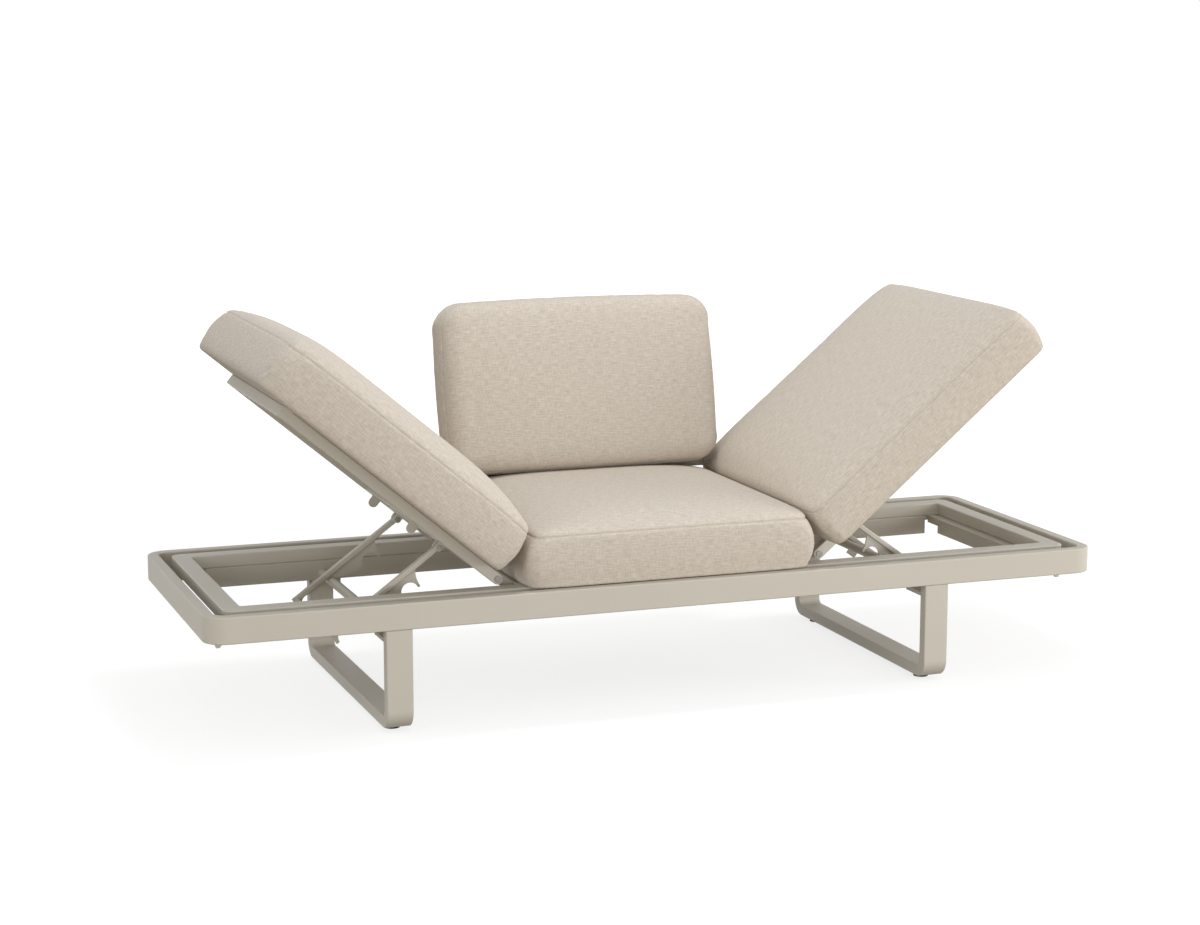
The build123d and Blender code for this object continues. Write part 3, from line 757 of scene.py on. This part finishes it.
# %% [markdown]
# ## Studio floor
#
# The sofa stands on a plain floor that is pale near it and white further off. Under plain light a
# floor that white would throw far too much light up into the frame. So it is given two looks, told
# apart by the Light Path node. A ray that shows the floor, straight or in a reflection, finds a
# soft glow with some matt grey, which keeps the sofa's shadow. Every other ray finds a dull brown
# that sends little light back up, so that undersides stay dark.

# %% What shows a surface
def shown(tree):
    """1 where a ray shows the surface itself, straight, mirrored or through glass, and else 0."""
    ray = add(tree, "LightPath")
    mirrored = add(
        tree,
        "Math",
        {0: ray.outputs["Is Camera Ray"], 1: ray.outputs["Is Glossy Ray"]},
        operation="MAXIMUM",
    )
    direct = add(
        tree,
        "Math",
        {0: mirrored.outputs["Value"], 1: ray.outputs["Is Transmission Ray"]},
        operation="MAXIMUM",
    )
    return direct.outputs["Value"]


# %% Floor finish
pale_until, white_from = 1.9, 3.2  # distances from the sofa's middle
pale = 0.782  # strength of the glow near the sofa, where 1 is white
floor_material, tree, shader = finish("studio_floor")
position = add(tree, "TexCoord")
distance = add(tree, "VectorMath", {0: position.outputs["Object"]}, operation="LENGTH")
whiteness = add(
    tree,
    "MapRange",
    {
        "Value": distance.outputs["Value"],
        "From Min": pale_until,
        "From Max": white_from,
        "To Min": pale,
        "To Max": 1.0,
    },
)
glow = add(tree, "Emission", {"Color": (1, 1, 1, 1), "Strength": whiteness.outputs["Result"]})
matt = add(tree, "BsdfDiffuse", {"Color": linear("#999999")})
look = add(tree, "AddShader", {0: glow.outputs["Emission"], 1: matt.outputs["BSDF"]})
shader.inputs["Base Color"].default_value = linear("#7a6c50")
shader.inputs["Roughness"].default_value = 1
shader.inputs["Specular IOR Level"].default_value = 0
blend = add(
    tree,
    "MixShader",
    {0: shown(tree), 1: shader.outputs["BSDF"], 2: look.outputs["Shader"]},
)
tree.links.new(blend.outputs["Shader"], tree.nodes["Material Output"].inputs["Surface"])
print("made", floor_material.name)

# %% Floor
floor_reach = 40
floor_mesh = bmesh.new()
bmesh.ops.create_grid(floor_mesh, x_segments=2, y_segments=2, size=floor_reach)
floor_data = bpy.data.meshes.new("floor")
floor_mesh.to_mesh(floor_data)
floor_mesh.free()
floor_data.materials.append(floor_material)
floor = bpy.data.objects.new("floor", floor_data)
bpy.context.scene.collection.objects.link(floor)
print("floor reaches", floor_reach, "m each way")

# %% [markdown]
# ## Lamps and surrounding light
#
# Most of the light comes from the bright space all round, as in a studio with white walls. That
# alone looks flat, so a lamp overhead lifts the seat and lays a soft shadow, two long low lamps in
# front light the hoop and the legs, and a large lamp at each side rounds off the ends. Large lamps
# are chosen over small ones because their shadows have soft edges.

# %% Lamps
def soft_lamp(name, watts, size, place, aim):
    """A lamp of a given width and height that shines towards a point, and isn't seen itself."""
    data = bpy.data.lights.new(name, "AREA")
    data.energy = watts
    data.shape = "RECTANGLE"
    data.size, data.size_y = size
    lamp = bpy.data.objects.new(name, data)
    lamp.location = place
    lamp.rotation_euler = (Vector(aim) - Vector(place)).to_track_quat("-Z", "Y").to_euler()
    lamp.visible_camera = False
    bpy.context.scene.collection.objects.link(lamp)
    print("lamp", name, watts, "W")


# name, watts, (width, height), place, point that it shines towards
soft_lamp("overhead", 29, (0.45, 0.45), (0.1, 0.1, 3.6), (0, 0, 0.3))
soft_lamp("low_right", 21, (2.4, 0.6), (1.3, -3.0, 0.4), (0.3, -0.3, 0.35))
soft_lamp("low_left", 14, (2.4, 0.6), (-1.3, -3.0, 0.4), (-0.3, -0.3, 0.35))
soft_lamp("left_side", 32, (2.0, 2.0), (-4.6, -2.0, 1.3), (-0.6, 0, 0.4))
soft_lamp("right_side", 90, (2.0, 2.0), (4.6, -2.0, 1.3), (0.6, 0, 0.4))

# %% Surrounding light
surround = 0.57  # strength of the light from all round, where 1 would clip the pale cloth
world = bpy.data.worlds.new("studio")
bpy.context.scene.world = world
world.use_nodes = True
tree = world.node_tree
backdrop = tree.nodes["Background"]
backdrop.inputs["Color"].default_value = (1, 1, 1, 1)
level = add(tree, "MapRange", {"Value": shown(tree), "To Min": surround, "To Max": 1.0})
tree.links.new(level.outputs["Result"], backdrop.inputs["Strength"])
print("the world lights at", surround, "and shows at 1")

# %% [markdown]
# ## Camera
#
# The camera looks from the front left, at standing height. Its place and lens were found by
# matching the deck's corners, the legs and the panels of the real sofa, so both the angle and the
# perspective agree. Colours go through the Standard view, which shows them as they were written.

# %% Camera
tilt_down = 9.97
turn_right = 20.05
camera_data = bpy.data.cameras.new("camera")
camera_data.sensor_width = 36
camera_data.lens = 75.93
camera = bpy.data.objects.new("camera", camera_data)
camera.location = (-2.0764, -5.5386 + deck_middle_y, 1.5455)
camera.rotation_euler = (radians(90 - tilt_down), 0, radians(-turn_right))
bpy.context.scene.collection.objects.link(camera)
bpy.context.scene.camera = camera
bpy.context.scene.view_settings.view_transform = "Standard"
print("camera", round(camera.location.z, 2), "m up, tilted down by", tilt_down, "degrees")
